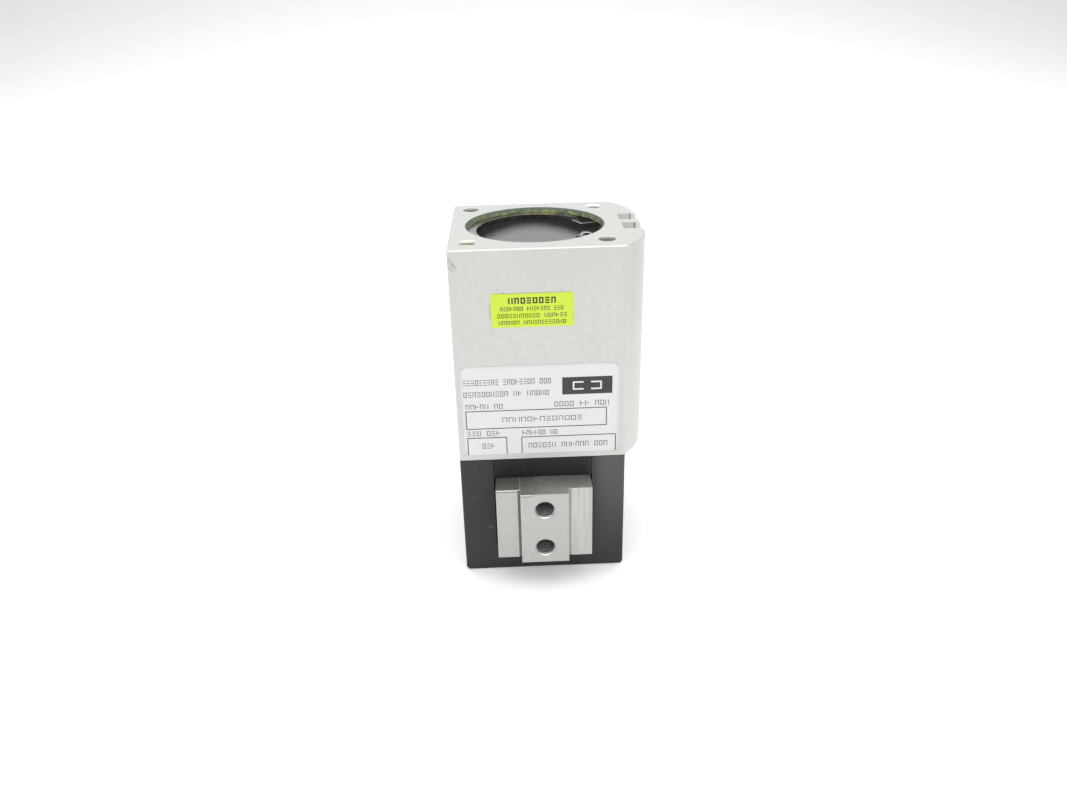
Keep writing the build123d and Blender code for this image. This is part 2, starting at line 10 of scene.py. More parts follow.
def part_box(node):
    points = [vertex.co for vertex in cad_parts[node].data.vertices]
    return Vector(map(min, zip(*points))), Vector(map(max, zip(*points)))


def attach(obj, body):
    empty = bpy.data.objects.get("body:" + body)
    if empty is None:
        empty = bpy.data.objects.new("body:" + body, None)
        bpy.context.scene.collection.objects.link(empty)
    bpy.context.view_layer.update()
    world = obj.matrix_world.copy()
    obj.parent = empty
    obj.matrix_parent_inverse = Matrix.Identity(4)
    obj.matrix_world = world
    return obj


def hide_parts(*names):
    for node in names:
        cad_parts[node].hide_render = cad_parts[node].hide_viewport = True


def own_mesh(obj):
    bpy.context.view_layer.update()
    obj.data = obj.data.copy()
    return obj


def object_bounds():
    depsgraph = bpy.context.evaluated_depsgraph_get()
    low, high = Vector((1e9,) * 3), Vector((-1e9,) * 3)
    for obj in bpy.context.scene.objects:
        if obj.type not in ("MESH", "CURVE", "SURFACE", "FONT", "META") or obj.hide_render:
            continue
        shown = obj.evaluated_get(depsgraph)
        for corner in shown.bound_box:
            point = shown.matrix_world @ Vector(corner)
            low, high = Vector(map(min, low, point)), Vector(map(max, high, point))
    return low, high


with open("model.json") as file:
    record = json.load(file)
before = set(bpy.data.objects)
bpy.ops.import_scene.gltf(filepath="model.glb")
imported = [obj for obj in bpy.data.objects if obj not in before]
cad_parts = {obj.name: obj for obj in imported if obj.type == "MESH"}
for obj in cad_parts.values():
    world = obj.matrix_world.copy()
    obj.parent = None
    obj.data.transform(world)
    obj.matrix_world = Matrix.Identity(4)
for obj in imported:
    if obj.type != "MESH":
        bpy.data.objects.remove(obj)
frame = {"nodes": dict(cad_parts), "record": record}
cad_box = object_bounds()

MM = 0.001
BODY_LOW, BODY_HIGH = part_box("cylinder_body")
HOUSING_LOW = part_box("jaw_housing")[0]
PLATE_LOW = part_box("nameplate")[0]
STICKER_LOW, STICKER_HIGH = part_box("yellow_label")
JAW_LOW, JAW_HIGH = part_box("front_jaw")
MOUNTS = {m["name"]: m for m in frame["record"]["mounts"]}
FRONT = BODY_LOW.y                      # the face that carries both labels
CHAMFER = 0.5 * MM                      # on the body's top edges
TAP = MOUNTS["top_bolts"]["dims"]["spacing_x_mm"] / 2 * MM     # tapped holes from the axis, along X and Y
INK_PROUD, INK_SUNK = 0.015 * MM, 0.01 * MM
WHITE, BLACK = (1.0, 1.0, 1.0), (0.0, 0.0, 0.0)


# ---- Node materials -----------------------------------------------------------------

def opaque(colour):
    """A colour as a socket takes it: (r, g, b) gets an alpha of 1, and a socket stays as it is."""
    return colour if isinstance(colour, bpy.types.NodeSocket) else (*colour, 1.0)


class Paint:
    """A node material laid out in code. Its patterns are placed in metres, in the CAD's frame."""

    def __init__(self, name):
        self.material = bpy.data.materials.new(name)
        self.material.use_nodes = True
        self.tree = self.material.node_tree
        self.shader = self.tree.nodes["Principled BSDF"]
        self.place = self.node("ShaderNodeTexCoord").outputs["Object"]
        self.x, self.y, self.z = self.node("ShaderNodeSeparateXYZ", {0: self.place}).outputs

    def feed(self, socket, value):
        """Link the socket to another one, or set it to a constant."""
        if isinstance(value, bpy.types.NodeSocket):
            self.tree.links.new(value, socket)
        else:
            socket.default_value = value

    def node(self, kind, inputs=None, **properties):
        """Add a node, with its properties and with a constant or a socket for each input."""
        made = self.tree.nodes.new(kind)
        for name, value in properties.items():
            setattr(made, name, value)
        for key, value in (inputs or {}).items():
            self.feed(made.inputs[key], value)
        return made

    def math(self, operation, *values, clamp=False):
        """The result of one Math node."""
        inputs = dict(enumerate(values))
        return self.node("ShaderNodeMath", inputs, operation=operation, use_clamp=clamp).outputs[0]

    def times(self, product, *others):
        """The product of all the values."""
        for value in others:
            product = self.math("MULTIPLY", product, value)
        return product

    def plus(self, first, second):
        """The sum of the two."""
        return self.math("ADD", first, second)

    def one_minus(self, value):
        """1 minus the value."""
        return self.math("SUBTRACT", 1.0, value)

    def larger(self, first, second):
        """The larger of the two."""
        return self.math("MAXIMUM", first, second)

    def absolute(self, value):
        """The value without its sign."""
        return self.math("ABSOLUTE", value)

    def under(self, value, limit):
        """1 where value is less than limit, and 0 elsewhere."""
        return self.math("LESS_THAN", value, limit)

    def over(self, value, limit):
        """1 where value is more than limit, and 0 elsewhere."""
        return self.math("GREATER_THAN", value, limit)

    def distance(self, first, second):
        """Distance between two points."""
        points = {0: first, 1: second}
        return self.node("ShaderNodeVectorMath", points, operation="DISTANCE").outputs["Value"]

    def noise(self, size, stretch=(1, 1, 1), detail=3.0, roughness=0.55, shift=0.0):
        """Noise whose features are about size metres, stretched along the axes."""
        scale = [1 / (size * s) for s in stretch]
        spot = self.node("ShaderNodeMapping", {
            "Vector": self.place, "Location": (shift,) * 3, "Scale": scale})
        made = self.node("ShaderNodeTexNoise", {
            "Vector": spot.outputs[0], "Scale": 1.0, "Detail": detail, "Roughness": roughness})
        return made.outputs["Fac"]

    def ramp(self, value, low, high, out_low=0.0, out_high=1.0):
        """Smooth change from out_low where value is low to out_high where it is high."""
        inputs = {"Value": value, "From Min": low, "From Max": high, "To Min": out_low, "To Max": out_high}
        return self.node("ShaderNodeMapRange", inputs, interpolation_type="SMOOTHSTEP").outputs[0]

    def mix(self, factor, first, second):
        """Mix two colours, each an (r, g, b) or a socket."""
        inputs = {0: factor, 6: opaque(first), 7: opaque(second)}
        return self.node("ShaderNodeMix", inputs, data_type="RGBA").outputs[2]

    def spot(self, centre, radius, soft=0.5):
        """1 inside a ball of that radius, fading to 0 outside."""
        return self.ramp(self.distance(self.place, centre), radius, radius * (1 - soft))

    def line(self, start, end, width):
        """1 on a straight scratch from start to end, fading to 0 at its sides and ends."""
        start, along = Vector(start), Vector(end) - Vector(start)
        kind = "ShaderNodeVectorMath"
        from_start = self.node(kind, {0: self.place, 1: start}, operation="SUBTRACT").outputs[0]
        dot = self.node(kind, {0: from_start, 1: along}, operation="DOT_PRODUCT").outputs["Value"]
        share = self.math("DIVIDE", dot, along.length_squared, clamp=True)
        nearest = self.node(kind, {0: along, "Scale": share}, operation="SCALE").outputs[0]
        return self.ramp(self.distance(from_start, nearest), width, 0.0)

    def level(self):
        """The place with its height left out."""
        return self.node("ShaderNodeCombineXYZ", {"X": self.x, "Y": self.y}).outputs[0]

    def radius(self):
        """Distance from the cylinder's axis."""
        return self.node("ShaderNodeVectorMath", {0: self.level()}, operation="LENGTH").outputs["Value"]

    def normal_z(self):
        """1 where the surface faces up, 0 where it is upright."""
        normal = self.node("ShaderNodeTexCoord").outputs["Normal"]
        return self.node("ShaderNodeSeparateXYZ", {0: normal}).outputs[2]

    def glow(self, strength):
        """White light of its own."""
        self.feed(self.shader.inputs["Emission Color"], opaque(WHITE))
        self.feed(self.shader.inputs["Emission Strength"], strength)

    def finish(self, colour, roughness, metallic=0.0, height=None, relief=0.0, **constants):
        """Connect the shader. relief is the height's real size in metres; constants are set on sockets."""
        self.feed(self.shader.inputs["Base Color"], opaque(colour))
        self.feed(self.shader.inputs["Roughness"], roughness)
        self.feed(self.shader.inputs["Metallic"], metallic)
        for key, value in constants.items():
            self.shader.inputs[key.replace("_", " ")].default_value = value
        if height is not None:
            bump = self.node("ShaderNodeBump", {"Height": height, "Distance": relief, "Strength": 1.0})
            self.tree.links.new(bump.outputs[0], self.shader.inputs["Normal"])
        return self.material


def paint_clear_anodised():
    """Satin clear anodise on extruded aluminium: a faint mottle and fainter die lines, with painted shade
    on the upper round side, a painted highlight on the front top chamfer, painted light and shade in the
    slots and painted highlights behind the tapped holes.
    """
    p = Paint("clear_anodised")
    streak = p.noise(1.2 * MM, (1, 1, 40), detail=3)
    mottle = p.noise(2.2 * MM, (1, 1, 1.6), detail=5, roughness=0.65)
    cloud = p.noise(24 * MM, (1, 1, 1.8), detail=3, shift=0.2)
    grain = p.noise(0.28 * MM, detail=2)
    colour = p.mix(p.ramp(mottle, 0.3, 0.7), (0.545, 0.552, 0.522), (0.583, 0.586, 0.560))
    colour = p.mix(p.ramp(streak, 0.3, 0.7, 0.0, 0.35), colour, (0.587, 0.589, 0.570))
    colour = p.mix(p.ramp(cloud, 0.4, 0.7, 0.0, 0.45), colour, (0.545, 0.547, 0.525))
    upright = p.ramp(p.normal_z(), 0.8, 0.4)
    round_side, high_up = p.ramp(p.x, 29 * MM, 34 * MM), p.ramp(p.z, 55 * MM, 128 * MM)
    # painted shade: the upper round side is painted darker
    round_side_shade = p.times(round_side, high_up, upright)
    colour = p.mix(p.times(round_side_shade, 0.6), colour, (0.47, 0.475, 0.445))
    # painted highlight along the front top chamfer
    sloping = p.times(p.ramp(p.normal_z(), 0.4, 0.6), p.ramp(p.normal_z(), 0.9, 0.8))
    near_front = p.ramp(p.y, FRONT + CHAMFER * 0.75, FRONT + CHAMFER * 0.45)
    colour = p.mix(p.times(sloping, near_front, 0.5), colour, (0.93, 0.93, 0.92))
    lip_start, lip_end = 37.1 * MM, 37.9 * MM            # painted shade on a band in the slots' mouths
    lip = p.times(p.over(p.x, lip_start), p.under(p.x, lip_end))
    # painted light on the slots' upper walls, painted shade on their shoulders
    painted_slot_colours = p.mix(lip, (0.76, 0.76, 0.725), (0.47, 0.47, 0.42))
    colour = p.mix(p.times(slot_light_mask(p, upright), 0.9), colour, painted_slot_colours)
    colour = p.mix(body_marks(p), colour, (0.20, 0.19, 0.20))
    # painted highlights behind the tapped holes
    colour = p.mix(p.times(tap_glints(p), p.one_minus(upright)), colour, (0.97, 0.97, 0.96))
    amount, stain = bore_stain(p)
    colour = p.mix(amount, colour, stain)
    roughness = p.ramp(p.plus(mottle, grain), 0.7, 1.4, 0.38, 0.48)
    height = p.plus(p.times(streak, 0.35), p.times(grain, 0.65))
    return p.finish(colour, roughness, metallic=0.5, height=height, relief=0.018 * MM)


def tap_gap(p, sx, sy):
    """Distance from the axis of the tapped hole in the corner with these signs."""
    return p.distance(p.level(), (sx * TAP, sy * TAP, 0.0))


def tap_glints(p):
    """Painted highlights on the lips behind the four tapped holes."""
    bright_r, faded_r = 3.6 * MM, 4.5 * MM
    total = 0.0
    for sx, sy, strength in ((-1, -1, 0.85), (1, 1, 0.85), (1, -1, 0.5), (-1, 1, 0.35)):
        lip = p.ramp(tap_gap(p, sx, sy), faded_r, bright_r)
        behind = p.ramp(p.y, sy * TAP + 1.4 * MM, sy * TAP + 3.0 * MM)
        total = p.larger(total, p.times(lip, behind, strength))
    return total


def slot_light_mask(p, upright):
    """Where the walls at the upper ends of the two sensor slots get painted light."""
    slot_floor, slot_y, half_width = 32.3 * MM, 6.8 * MM, 4.45 * MM
    from_slot = p.absolute(p.math("SUBTRACT", p.absolute(p.y), slot_y))
    within = p.times(p.under(from_slot, half_width), p.over(p.x, slot_floor))
    near_top = p.ramp(p.z, BODY_HIGH.z - 14 * MM, BODY_HIGH.z - 5 * MM)
    inner = p.under(p.x, BODY_HIGH.x - 0.15 * MM)
    return p.times(within, inner, near_top, upright)


def body_marks(p):
    """Handling marks on the front: scuffs near the top left corner, specks and dirt round the sticker."""
    x0, x1 = STICKER_LOW.x, STICKER_HIGH.x
    z0, z1 = STICKER_LOW.z, STICKER_HIGH.z
    middle = (z0 + z1) / 2
    total = 0.0
    broken = p.ramp(p.noise(0.8 * MM, detail=3), 0.25, 0.5)
    scuffs = (                              # both ends' X and Z, the width and the strength
        ((-31.1, 130.0), (-29.0, 127.0), 0.75, 0.55),
        ((-31.0, 127.4), (-30.1, 126.0), 0.8, 0.34),
        ((-30.9, 129.6), (-29.4, 127.4), 1.8, 0.18),
    )
    for (ax, az), (bx, bz), width, strength in scuffs:
        mark = p.line((ax * MM, FRONT, az * MM), (bx * MM, FRONT, bz * MM), width * MM)
        total = p.larger(total, p.times(mark, p.times(broken, strength)))
    smears = (                              # dirt along the sticker's edges, with both ends in metres
        (x0, middle - 2.2 * MM, x0, middle + 1.9 * MM, 0.75, 0.55),
        (x1, z0 + 2 * MM, x1, middle - 1 * MM, 0.5, 0.3),
        (x0 + 1 * MM, z1, x1 - 1 * MM, z1, 0.45, 0.45),
        (x0, z0, x0, z1, 0.3, 0.2),
    )
    for ax, az, bx, bz, width, strength in smears:
        mark = p.line((ax, FRONT, az), (bx, FRONT, bz), width * MM)
        total = p.larger(total, p.times(mark, strength))
    specks = (                              # X, Z, the radius and the strength
        (-12.6, 117.35, 0.55, 0.7),
        (-6.6, 117.3, 0.5, 0.5),
        (7.6, 118.1, 0.7, 0.3),
        (-14.6, 118.6, 1.5, 0.16),
        (-2.7, 127.3, 1.0, 0.16),
        (-16.7, 103.3, 1.4, 0.1),
    )
    for x, z, size, strength in specks:
        mark = p.spot((x * MM, FRONT, z * MM), size * MM, soft=1.0)
        total = p.larger(total, p.times(mark, strength))
    near_front = p.ramp(p.y, FRONT + 1.2 * MM, FRONT + 0.6 * MM)
    return p.times(total, near_front)


def bore_stain(p):
    """Olive oil stain on the bore's wall and tints at the tapped holes' mouths, with a painted highlight in
    the right back mouth: an amount and a colour.
    """
    ring_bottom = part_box("retaining_ring")[0].z
    rim_r, tap_mouth_r = 26.3 * MM, 3.22 * MM
    inside = p.under(p.radius(), rim_r)
    above = p.over(p.z, ring_bottom - 1 * MM)
    patches = p.ramp(p.noise(2.6 * MM, (1, 1, 0.7), detail=5, roughness=0.7), 0.36, 0.66)
    wall = p.mix(patches, (0.052, 0.064, 0.03), (0.30, 0.34, 0.125))
    light = p.ramp(p.noise(0.9 * MM, detail=4, shift=0.3), 0.6, 0.75)
    wall = p.mix(light, wall, (0.34, 0.33, 0.2))
    tint = p.ramp(p.noise(4 * MM, detail=3, shift=0.9), 0.4, 0.65, 0.0, 0.6)
    wall = p.mix(tint, wall, (0.10, 0.125, 0.085))
    rim = p.ramp(p.z, BODY_HIGH.z - 1.05 * MM, BODY_HIGH.z - 0.45 * MM)
    wall = p.mix(p.times(rim, 0.9), wall, (0.12, 0.18, 0.148))
    amount = p.times(inside, above, 0.94)
    taps = 0.0                              # a mouth whose strength is over 0.6 is dark
    for sx, sy, strength in ((-1, -1, 0.5), (1, 1, 0.58), (1, -1, 0.75), (-1, 1, 0.7)):
        mouth = p.under(tap_gap(p, sx, sy), tap_mouth_r)
        taps = p.larger(taps, p.times(mouth, strength))
    taps = p.times(taps, p.over(p.z, BODY_HIGH.z - 0.7 * MM))
    # the right back mouth is painted light grey, a painted highlight on its shaded wall
    mouths = p.mix(p.over(p.x, 0.0), (0.56, 0.50, 0.27), (0.85, 0.85, 0.81))
    mouths = p.mix(p.over(taps, 0.6), mouths, (0.15, 0.15, 0.12))
    colour = p.mix(p.over(taps, 0.01), wall, mouths)
    return p.larger(amount, taps), colour


def paint_black_anodised(name, shade, gloss, spots=()):
    """Matte black anodise with a fine blasted grain, slight dusty clouding and a painted sheen towards the
    upper right.
    """
    p = Paint(name)
    grain = p.noise(0.3 * MM, detail=3, roughness=0.7)
    cloud = p.noise(9 * MM, detail=5)
    light = (shade * 1.25, shade * 1.25, shade * 1.27)
    colour = p.mix(p.ramp(cloud, 0.3, 0.75), (shade, shade * 0.985, shade), light)
    # painted sheen towards the upper right
    painted_sheen = p.times(p.ramp(p.x, 17 * MM, 24 * MM), p.ramp(p.z, 4 * MM, 44 * MM))
    colour = p.mix(p.times(painted_sheen, 0.5), colour, (0.13, 0.128, 0.126))
    speck = p.ramp(p.noise(1.1 * MM, detail=2, shift=0.7), 0.70, 0.78, 0.0, 0.25)
    colour = p.mix(speck, colour, (0.16, 0.15, 0.14))
    for centre, size, tint, strength in spots:
        colour = p.mix(p.times(p.spot(centre, size, soft=1.0), strength), colour, tint)
    roughness = p.ramp(cloud, 0.3, 0.7, 0.44, 0.56)
    return p.finish(colour, roughness, height=grain, relief=0.02 * MM, Specular_IOR_Level=gloss)


def housing_spots():
    """Spots on the housing's front: the place, the size, the colour and the strength."""
    front = HOUSING_LOW.y
    return (
        ((-21.3 * MM, front, 20.2 * MM), 1.3 * MM, (0.16, 0.12, 0.07), 0.55),
        ((-20.1 * MM, front, 12.4 * MM), 1.5 * MM, (0.012, 0.012, 0.014), 0.8),
        ((23.6 * MM, front, 12.0 * MM), 3.4 * MM, (0.03, 0.03, 0.034), 0.5),
        ((-27.0 * MM, front, 34.0 * MM), 2.2 * MM, (0.1, 0.095, 0.085), 0.25),
    )


def paint_jaw_steel():
    """Ground steel: fine grinding lines, soft streaks on one flange, painted light and shade in the
    countersinks and a painted highlight over a painted shadow along the top edge on the left.
    """
    p = Paint("jaw_steel")
    boss, hole_mouth_r = 9.15 * MM, 3.72 * MM            # half the boss's width, the holes' countersink
    fine = p.noise(0.22 * MM, (9, 9, 1), detail=3, roughness=0.6)
    cross = p.noise(0.35 * MM, (1, 9, 9), detail=3, roughness=0.6, shift=0.4)
    cloud = p.noise(6 * MM, detail=4)
    colour = p.mix(p.ramp(fine, 0.3, 0.7), (0.412, 0.412, 0.394), (0.472, 0.472, 0.458))
    colour = p.mix(p.ramp(cross, 0.45, 0.75, 0.0, 0.3), colour, (0.385, 0.385, 0.367))
    colour = p.mix(p.ramp(cloud, 0.4, 0.7, 0.0, 0.4), colour, (0.448, 0.438, 0.407))
    flange = p.over(p.x, boss + 1 * MM)
    streaks = p.ramp(p.noise(1.4 * MM, (1, 1, 14), detail=3), 0.38, 0.66)
    warm = p.mix(streaks, (0.555, 0.537, 0.50), (0.42, 0.403, 0.372))
    colour = p.mix(p.times(flange, 0.6), colour, warm)
    amount, rust_and_shade = groove_rust_and_shade(p, boss)
    colour = p.mix(amount, colour, rust_and_shade)
    normal_z = p.normal_z()
    up = p.ramp(normal_z, 0.75, 0.95)
    colour = p.mix(up, colour, jaw_top(p, boss))
    left = p.ramp(p.x, -3.5 * MM, -6 * MM)
    below = p.math("SUBTRACT", JAW_HIGH.z, p.z)
    # painted highlight on the top edge on the left, with a painted shadow under it
    top_edge_highlight = p.times(p.ramp(below, 0.45 * MM, 0.3 * MM), left)
    shade = p.times(p.ramp(below, 1.0 * MM, 0.7 * MM), left)
    upright = p.one_minus(up)
    colour = p.mix(p.times(shade, upright, 0.7), colour, (0.12, 0.12, 0.11))
    colour = p.mix(p.times(top_edge_highlight, upright, 0.8), colour, (0.75, 0.75, 0.73))
    # painted shade inside the countersinks and a painted highlight where they face up
    lip = p.mix(p.ramp(normal_z, -0.6, 0.2), (0.04, 0.04, 0.042), (0.36, 0.36, 0.35))
    lip = p.mix(p.ramp(normal_z, 0.35, 0.7), lip, (0.98, 0.97, 0.94))
    colour = p.mix(p.under(jaw_hole_gap(p), hole_mouth_r), colour, lip)
    roughness = p.ramp(p.plus(fine, cloud), 0.7, 1.3, 0.3, 0.42)
    roughness = p.plus(roughness, p.times(up, 0.15))
    height = p.plus(fine, cross)
    return p.finish(colour, roughness, metallic=0.9, height=height, relief=0.012 * MM)


def groove_rust_and_shade(p, boss):
    """Rust and painted shade in the narrow grooves on both sides of the boss, stronger on the left, as an
    amount and a colour.
    """
    off_axis, off_middle = p.absolute(p.x), p.absolute(p.y)
    beside = p.times(p.over(off_axis, boss + 0.02 * MM), p.under(off_axis, boss + 0.98 * MM))
    sunk = p.under(off_middle, -JAW_LOW.y - 4.0 * MM)
    outer = p.over(off_middle, -JAW_LOW.y - 4.7 * MM)
    # painted shade in the grooves, stronger on the left
    strength = p.ramp(p.x, -8 * MM, 8 * MM, 0.85, 0.3)
    rust = p.ramp(p.noise(1.8 * MM, detail=4, shift=0.6), 0.58, 0.66)
    rust_and_shade = p.mix(rust, (0.09, 0.085, 0.07), (0.42, 0.36, 0.16))
    return p.times(beside, p.times(sunk, outer), strength), rust_and_shade


def jaw_top(p, boss):
    """Colour of the upper faces: oily steel with painted shade darker on the left, and a painted highlight
    line along the boss's left edge.
    """
    oil = p.ramp(p.noise(1.6 * MM, (1, 2, 1), detail=4, roughness=0.6), 0.3, 0.7)
    # painted shade: darker towards the left
    side = p.ramp(p.x, -12 * MM, 4 * MM, 0.62, 1.0)
    dull = p.mix(side, BLACK, p.mix(oil, (0.41, 0.414, 0.385), (0.49, 0.494, 0.462)))
    # painted highlight along the boss's left top edge
    boss_edge_highlight = p.line((-boss, -0.06, JAW_HIGH.z), (-boss, 0.06, JAW_HIGH.z), 0.45 * MM)
    return p.mix(p.times(boss_edge_highlight, 0.8), dull, (0.62, 0.60, 0.48))


def jaw_hole_gap(p):
    """Distance from the nearer of a jaw's two hole axes."""
    gap = 1.0
    flat = p.node("ShaderNodeCombineXYZ", {"X": p.x, "Z": p.z}).outputs[0]
    for hole in pattern_holes("front_jaw_bolts")[0]:
        gap = p.math("MINIMUM", gap, p.distance(flat, (hole.x, 0.0, hole.z)))
    return gap


def paint_jaw_threads():
    """Cut steel threads with painted light: painted shade where they face down and a painted highlight
    where they face up.
    """
    p = Paint("thread_steel")
    fine = p.noise(0.4 * MM, detail=3)
    lower = p.mix(fine, (0.68, 0.68, 0.66), (0.96, 0.96, 0.94))
    upper = p.mix(fine, (0.008, 0.008, 0.01), (0.02, 0.02, 0.022))
    # painted light: dark where the threads face down, bright where they face up
    colour = p.mix(p.ramp(p.normal_z(), -0.1, 0.95), upper, lower)
    return p.finish(colour, 0.3, metallic=0.9, height=fine, relief=0.008 * MM)


def paint_end_cap():
    """Dark glossy cap with faint turning rings, painted shade at the back and sides, and one dark speck."""
    p = Paint("cap_metal")
    rings = p.math("SINE", p.times(p.radius(), tau / (1.7 * MM)))
    cloud = p.noise(7 * MM, (1.6, 1, 1), detail=2)
    colour = p.mix(p.ramp(cloud, 0.3, 0.7), (0.15, 0.144, 0.148), (0.182, 0.174, 0.179))
    colour = p.mix(p.ramp(rings, -1.0, 1.0, 0.0, 0.12), colour, (0.21, 0.2, 0.207))
    # painted shade and dark reflection towards the back and sides
    towards_sides = p.times(p.x, p.x, 0.05 / MM)
    towards_right = p.times(p.larger(p.x, 0.0), 0.2)
    cap_shade = p.ramp(p.plus(p.y, p.plus(towards_sides, towards_right)), 0.0, 20 * MM)
    colour = p.mix(p.times(cap_shade, 0.95), colour, (0.016, 0.015, 0.016))
    speck_place, speck_r = (-15.8 * MM, -2.1 * MM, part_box("end_cap")[1].z), 1.1 * MM
    colour = p.mix(p.spot(speck_place, speck_r), colour, (0.012, 0.012, 0.014))
    metallic = p.math("SUBTRACT", 0.9, p.times(cap_shade, 0.9))
    return p.finish(colour, p.ramp(cloud, 0.3, 0.7, 0.24, 0.3), metallic=metallic, IOR=1.0)


def paint_ring():
    """Spring-steel ring: a painted highlight at the back, painted shade at its edge, a painted reflection
    and painted shade on the far lug with painted highlights on its edges, and painted shade on the near lug
    with a painted highlight behind its hole.
    """
    p = Paint("ring_steel")
    half_gap = radians(17)                               # the gap faces +X
    hole_angle, hole_ring_r, hole_rim_r = radians(27.5), 21.2 * MM, 2.3 * MM
    cloud = p.noise(3 * MM, detail=4, shift=0.1)
    lugs = p.ramp(p.x, 11.5 * MM, 15.5 * MM)
    up = p.ramp(p.normal_z(), 0.5, 0.9)
    flat = p.mix(p.ramp(cloud, 0.3, 0.7), (0.2, 0.2, 0.19), (0.27, 0.27, 0.255))

    far = p.over(p.y, 0.0)
    off_gap = p.math("SUBTRACT", p.times(p.y, cos(half_gap)), p.times(p.x, sin(half_gap)))
    off_edge = p.times(p.ramp(p.radius(), 18.9 * MM, 19.6 * MM), p.ramp(off_gap, 0.15 * MM, 0.9 * MM))
    far_lug = p.times(lugs, far, off_edge)
    # painted reflection of the olive bore wall on the far lug's left, painted shade to its right
    lug_reflection_and_shade = p.mix(p.ramp(p.x, 15.3 * MM, 18.3 * MM), (0.105, 0.11, 0.07), (0.012, 0.013, 0.009))
    flat = p.mix(far_lug, flat, lug_reflection_and_shade)
    # painted highlight on the far lug's edges
    far_lug_edge_highlight = p.times(lugs, far, p.one_minus(off_edge))
    flat = p.mix(p.times(far_lug_edge_highlight, 0.8), flat, (0.43, 0.42, 0.40))
    off_middle = p.absolute(p.math("SUBTRACT", p.x, 0.5 * MM))
    # painted highlight on the ring's back
    back_highlight = p.times(p.ramp(off_middle, 9.5 * MM, 5.5 * MM), far)
    flat = p.mix(p.times(back_highlight, 0.8), flat, (0.52, 0.51, 0.45))

    near_lug = p.times(lugs, p.under(p.y, 0.0))
    hole_x, hole_y = hole_ring_r * cos(hole_angle), -hole_ring_r * sin(hole_angle)
    right = p.ramp(p.x, hole_x + 0.5 * MM, hole_x + 2.5 * MM)
    # painted shade on the near lug
    flat = p.mix(near_lug, flat, p.mix(right, (0.07, 0.066, 0.068), (0.02, 0.02, 0.018)))
    # painted highlight behind the near lug's hole
    rim = p.spot((hole_x, hole_y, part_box("retaining_ring")[1].z), hole_rim_r, soft=0.12)
    behind = p.ramp(p.y, hole_y - 0.6 * MM, hole_y + 0.6 * MM)
    flat = p.mix(p.times(near_lug, rim, behind), flat, (0.70, 0.68, 0.67))

    # painted shade on the ring's edges; the near lug's edges are painted lighter
    edge = p.mix(p.ramp(cloud, 0.3, 0.7), (0.035, 0.035, 0.036), (0.08, 0.08, 0.082))
    edge = p.mix(near_lug, edge, (0.30, 0.29, 0.295))
    dull = p.times(p.larger(far_lug, p.times(near_lug, right)), 0.7)
    roughness = p.plus(p.ramp(cloud, 0.3, 0.7, 0.16, 0.24), dull)
    shaded_edge = p.times(p.one_minus(up), p.one_minus(near_lug))
    metallic = p.math("SUBTRACT", 0.95, p.times(shaded_edge, 0.75))
    return p.finish(p.mix(up, edge, flat), roughness, metallic=metallic)


def paint_corner_threads():
    """Aluminium threads: the left front hole has a gold tint, the right back one is clean, and both are
    painted near white as painted highlights; two are dull.
    """
    p = Paint("thread_aluminium")
    fine = p.noise(0.5 * MM, detail=3)
    dull = p.mix(fine, (0.14, 0.14, 0.11), (0.27, 0.27, 0.23))
    depth = p.ramp(p.math("SUBTRACT", BODY_HIGH.z, p.z), 1.0 * MM, 4.5 * MM)
    dull = p.mix(depth, dull, p.mix(fine, (0.45, 0.42, 0.36), (0.62, 0.58, 0.50)))
    # painted highlights: the clean and gold threads are painted near white
    clean_and_lit = p.mix(fine, (0.80, 0.78, 0.70), (0.95, 0.94, 0.88))
    gold_and_lit = p.mix(fine, (0.70, 0.64, 0.46), (0.96, 0.93, 0.82))
    left = p.under(p.x, 0.0)
    front = p.under(p.y, 0.0)
    left_front = p.times(left, front)
    right_back = p.times(p.one_minus(left), p.one_minus(front))
    colour = p.mix(left_front, p.mix(right_back, dull, clean_and_lit), gold_and_lit)
    return p.finish(colour, 0.36, metallic=0.85, height=fine, relief=0.008 * MM)


def paint_metal(name, dark, light, roughness, metallic=0.95, stretch=(1, 1, 1)):
    """Plain machined or ground metal with a fine grain."""
    p = Paint(name)
    grain = 0.4 * MM
    fine = p.noise(grain, stretch, detail=3)
    cloud = p.noise(grain * 14, detail=4, shift=0.5)
    colour = p.mix(p.ramp(p.plus(fine, cloud), 0.7, 1.3), dark, light)
    rough = p.ramp(cloud, 0.3, 0.7, roughness - 0.05, roughness + 0.07)
    return p.finish(colour, rough, metallic=metallic, height=fine, relief=0.008 * MM)


def paint_soft(name, dark, light, roughness):
    """Rubber or plastic with a moulded grain."""
    p = Paint(name)
    grain = p.noise(0.4 * MM, detail=4, roughness=0.7)
    cloud = p.noise(5 * MM, detail=3, shift=0.5)
    colour = p.mix(p.ramp(cloud, 0.35, 0.7), dark, light)
    rough = p.ramp(grain, 0.3, 0.7, roughness - 0.06, roughness + 0.06)
    return p.finish(colour, rough, height=grain, relief=0.02 * MM)


def paint_film(name, colour, shade, roughness):
    """Printed film: nearly flat colour, a faint orange-peel surface and slight soiling."""
    p = Paint(name)
    peel = p.noise(1.2 * MM, detail=2)
    soil = p.ramp(p.noise(7 * MM, detail=5, roughness=0.6), 0.5, 0.8, 0.0, 0.5)
    colour = p.mix(soil, colour, shade)
    rough = p.ramp(peel, 0.3, 0.7, roughness - 0.04, roughness + 0.04)
    return p.finish(colour, rough, height=peel, relief=0.006 * MM, Specular_IOR_Level=0.4)


